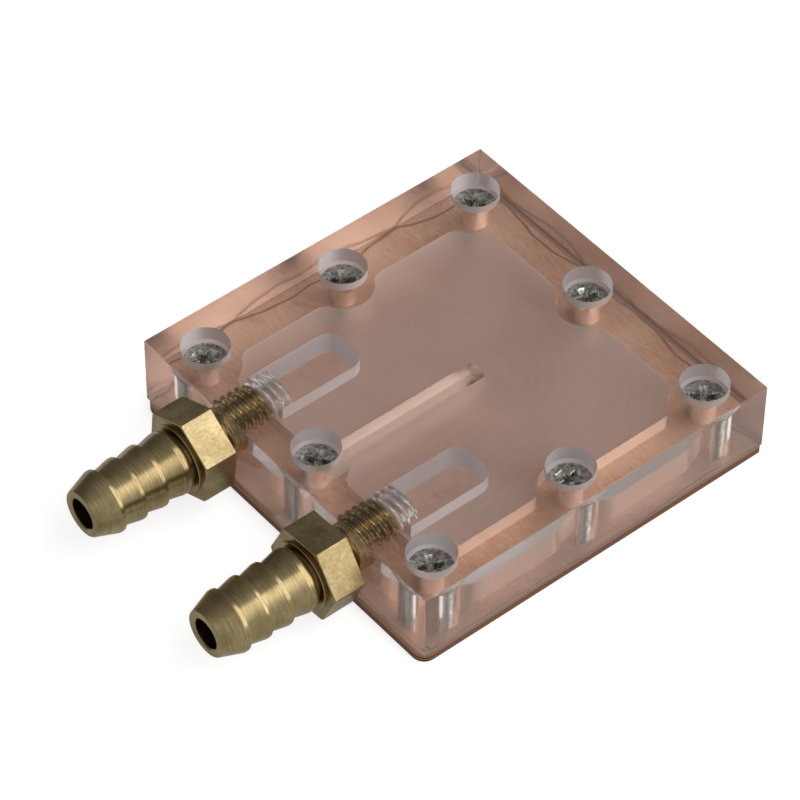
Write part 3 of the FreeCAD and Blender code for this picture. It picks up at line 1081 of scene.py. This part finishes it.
def fitting(name, axis, turn):
    """One fitting, set on its port's axis."""
    body = new_object(name, mesh_from(name, lambda shape: fitting_body(shape, turn)))
    core = M6_RADIUS - M6_DEPTH
    root = [(0, -SEAT), (core, -SEAT), (core, STUB), (0, STUB)]
    stub = new_object("stub", mesh_from("stub", lambda shape: lathe(shape, root, ROUND)))
    shaft = new_object("shaft", m6_thread("thread", M6_RADIUS, THREAD_LENGTH, RUN_OUT))
    boolean(shaft, stub, "UNION")
    boolean(body, shaft, "UNION")
    end = barb_outline()[-1][1]
    inner = THREAD_LENGTH + SEAT
    bit = [
        (0, end - PAST),
        (BORE + FLARE + PAST, end - PAST),
        (BORE, end + FLARE),
        (BORE, inner),
        (0, inner),
    ]
    drill = new_object("drill", mesh_from("drill", lambda shape: lathe(shape, bit, ROUND)))
    boolean(body, drill, "DIFFERENCE")
    body.data.transform(along_port(axis))
    return body


fittings = []
for name, node, axis, turn in zip(
    ("brass_inlet_fitting", "brass_outlet_fitting"), FITTING_NODES, port_axes, HEX_TURNS
):
    piece = fitting(name, axis, -math.radians(turn))
    fittings.append(piece)
    low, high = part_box(node)
    corners = [Vector(corner) for corner in piece.bound_box]
    print(name, len(piece.data.polygons), "faces, from", round(min(c.y for c in corners) / MM, 2))
    print("  packed node from", round(low.y / MM, 2), "to", round(high.y / MM, 2))

# %% [markdown]
# Brass for fittings is a yellow alloy of copper and zinc that machines cleanly. Left bare, it dulls a
# little, so its highlights are soft. The lathe leaves fine rings, so there the noise is drawn out
# across the axis. The flats of the hexagon keep the skin of the drawn bar, with marks that run along
# it, and are a little rougher.

# %% Brass
FLATS_FROM = 4.5 * MM


def brass_finish(name, stretch, grain, depth, roughness):
    """Bare brass with tool marks; a small number in stretch draws the marks out that way."""
    material, tree = new_material(name)
    place = add_node(tree, "ShaderNodeTexCoord").outputs["Object"]
    lines = add_node(tree, "ShaderNodeMapping", Vector=place, Scale=stretch)
    marks = add_node(
        tree, "ShaderNodeTexNoise", Vector=lines, Scale=grain, Detail=3, Roughness=0.65
    )
    dulling = add_node(tree, "ShaderNodeTexNoise", Vector=place, Scale=0.35 / MM, Detail=3)
    both = add_node(tree, "ShaderNodeMath", {"operation": "MULTIPLY"}, in_0=marks, in_1=dulling)
    spread = add_node(tree, "ShaderNodeMapRange", Value=both, From_Min=0.15, From_Max=0.4)
    ends = {"in_6": paint("#96835A"), "in_7": paint("#BDAA80")}
    colour = add_node(tree, "ShaderNodeMix", {"data_type": "RGBA"}, in_0=spread, **ends)
    bare_metal(tree, colour.outputs["Result"], roughness, marks, depth, 0.02 * MM)
    return material


turned = brass_finish("turned_brass", (0.05, 1.0, 0.05), 7 / MM, 0.22, 0.24)
drawn = brass_finish("drawn_brass", (1.0, 0.5, 1.0), 4 / MM, 0.25, 0.3)


def is_flat(face, axis):
    """True for the six flats of the hexagon, which keep the skin of the drawn bar."""
    out = math.hypot(face.center.x - axis.x, face.center.z - axis.z)
    return abs(face.normal.y) < 0.1 and out > FLATS_FROM


for piece, node, axis in zip(fittings, FITTING_NODES, port_axes):
    piece.data.materials.clear()
    piece.data.materials.append(turned)
    piece.data.materials.append(drawn)
    for face in piece.data.polygons:
        face.material_index = 1 if is_flat(face, axis) else 0
    shade(piece, 8)
    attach(piece, "root")
    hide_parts(node)

# %% [markdown]
# ## Screws
# Eight M3 countersunk screws with a cross recess hold the cover down. They are alike, so one screw is
# made: a turned head, a recess from a punch with two crossed blades, and a threaded shank. The punch
# pushes the recess's edges over a little, so they are bevelled.

# %% One screw
HEAD_RADIUS = 2.6 * MM
M3_RADIUS = 1.5 * MM
M3_PITCH = 0.5 * MM
M3_DEPTH = 0.29 * MM
SCREW_LENGTH = 8.0 * MM
CONE = HEAD_RADIUS - M3_RADIUS
NECK = 0.1 * MM
RECESS_EDGE = 0.12 * MM
RECESS_REACH = 2.0 * MM


def blade(shape, quarter):
    """One of the two crossed blades of the punch that forms the recess, tapered to its end."""
    spin = Matrix.Rotation(math.radians(90 * quarter), 3, "Z")
    top, bottom = 0.3 * MM, -1.3 * MM
    rings = []
    for height, reach, half in ((top, 1.85 * MM, 0.46 * MM), (bottom, 0.75 * MM, 0.3 * MM)):
        corners = ((-reach, -half), (reach, -half), (reach, half), (-reach, half))
        rings.append([shape.verts.new(spin @ Vector((x, y, height))) for x, y in corners])
    shape.faces.new(rings[0])
    shape.faces.new(list(reversed(rings[1])))
    for k in range(4):
        following = (k + 1) % 4
        shape.faces.new((rings[0][k], rings[1][k], rings[1][following], rings[0][following]))


def screw_head(shape):
    """The head with its cone and a short root for the shank, top face at height 0."""
    profile = [
        (0, -CONE - 0.3 * MM),
        (M3_RADIUS * 0.8, -CONE - 0.3 * MM),
        (M3_RADIUS, -CONE),
        (HEAD_RADIUS - 0.03 * MM, -0.11 * MM),
        (HEAD_RADIUS, -0.06 * MM),
        (HEAD_RADIUS - 0.02 * MM, -0.02 * MM),
        (HEAD_RADIUS - 0.08 * MM, 0.0),
        (0, 0.0),
    ]
    lathe(shape, profile, 64)


def round_recess(mesh):
    """Bevel the edges between the head's top face and its recess; returns how many there are."""
    shape = bmesh.new()
    shape.from_mesh(mesh)
    rim = []
    for edge in shape.edges:
        level = all(abs(vert.co.z) < SAME for vert in edge.verts)
        inside = all(math.hypot(vert.co.x, vert.co.y) < RECESS_REACH for vert in edge.verts)
        if level and inside and len(edge.link_faces) == 2 and edge.calc_face_angle(0) > 0.5:
            rim.append(edge)
    bmesh.ops.bevel(
        shape, geom=rim, offset=RECESS_EDGE, segments=2, profile=0.5, affect="EDGES"
    )
    shape.to_mesh(mesh)
    shape.free()
    return len(rim)


head = new_object("screw_head", mesh_from("screw_head", screw_head))
for quarter in range(2):
    punch = mesh_from("punch", lambda shape: blade(shape, quarter))
    boolean(head, new_object("punch", punch), "DIFFERENCE")
print("recess edges rounded:", round_recess(head.data))
shank = baked(
    "screw_shank",
    THREAD,
    Radius=M3_RADIUS,
    Depth=M3_DEPTH,
    Pitch=M3_PITCH,
    Length=SCREW_LENGTH - CONE - NECK,
    Run_Out=0.3 * MM,
    Segments=36,
    Rings=112,
)
shank.transform(
    Matrix.Translation((0, 0, -CONE - NECK)) @ Matrix.Rotation(math.radians(180), 4, "X")
)
boolean(head, new_object("shank", shank), "UNION")
heights = [vert.co.z / MM for vert in head.data.vertices]
print("one screw:", len(head.data.polygons), "faces,", round(min(heights), 2), "mm below its top")

# %% [markdown]
# The screws are bright steel that has gone dull in spots, with shallow pits, so the heads glitter in
# patches and show no clear image. One noise both darkens the pits and dents them.

# %% Screw steel
steel, tree = new_material("screw_steel")
place = add_node(tree, "ShaderNodeTexCoord").outputs["Object"]
pits = add_node(
    tree, "ShaderNodeTexNoise", Vector=place, Scale=2.6 / MM, Detail=3, Roughness=0.6
)
sound = add_node(tree, "ShaderNodeMapRange", Value=pits, From_Min=0.38, From_Max=0.62)
ends = {"in_6": paint("#8E8D86"), "in_7": paint("#E2E1DA")}
tone = add_node(tree, "ShaderNodeMix", {"data_type": "RGBA"}, in_0=sound, **ends)
bare_metal(tree, tone.outputs["Result"], 0.2, pits, 0.7, 0.06 * MM)
print("finish of the screws:", steel.name)

# %% [markdown]
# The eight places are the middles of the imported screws. They become the points of a small mesh, each
# with its own turn kept as an attribute, because nobody lines up the recesses. Geometry Nodes read
# the attribute and set a copy of the screw on each point.

# %% The eight screws
SCREW_TURNS = (20, 35, 62, 10, 48, 75, 30, 55)


def screw_tree():
    """Points and one screw in, a real copy of the screw on each point out."""
    tree = bpy.data.node_groups.new("screws", "GeometryNodeTree")
    tree.interface.new_socket("Geometry", in_out="INPUT", socket_type="NodeSocketGeometry")
    tree.interface.new_socket("Screw", in_out="INPUT", socket_type="NodeSocketObject")
    tree.interface.new_socket("Finish", in_out="INPUT", socket_type="NodeSocketMaterial")
    tree.interface.new_socket("Geometry", in_out="OUTPUT", socket_type="NodeSocketGeometry")
    given = add_node(tree, "NodeGroupInput").outputs
    one = add_node(tree, "GeometryNodeObjectInfo", Object=given["Screw"])
    turn = add_node(tree, "GeometryNodeInputNamedAttribute", {"data_type": "FLOAT"}, Name="turn")
    spin = add_node(tree, "ShaderNodeCombineXYZ", Z=turn)
    copies = add_node(
        tree,
        "GeometryNodeInstanceOnPoints",
        Points=given["Geometry"],
        Instance=one.outputs["Geometry"],
        Rotation=spin,
    )
    real = add_node(tree, "GeometryNodeRealizeInstances", Geometry=copies)
    coat = add_node(tree, "GeometryNodeSetMaterial", Geometry=real, Material=given["Finish"])
    add_node(tree, "NodeGroupOutput", Geometry=coat)
    return tree


places = []
for node in SCREW_NODES:
    low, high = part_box(node)
    places.append(((low.x + high.x) / 2, (low.y + high.y) / 2, high.z))
points = bpy.data.meshes.new("screw_places")
points.from_pydata(places, [], [])
turns = points.attributes.new("turn", "FLOAT", "POINT")
turns.data.foreach_set("value", [math.radians(angle) for angle in SCREW_TURNS])
screws = new_object("cover_screws", points)
modifier = screws.modifiers.new("screws", "NODES")
modifier.node_group = screw_tree()
set_input(modifier, "Screw", head)
set_input(modifier, "Finish", steel)
depsgraph = bpy.context.evaluated_depsgraph_get()
result = bpy.data.meshes.new_from_object(screws.evaluated_get(depsgraph))
screws.modifiers.clear()
screws.data = result
bpy.data.objects.remove(head)
shade(screws)
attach(screws, "root")
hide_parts(*SCREW_NODES)
print("screws:", len(screws.data.polygons), "faces")
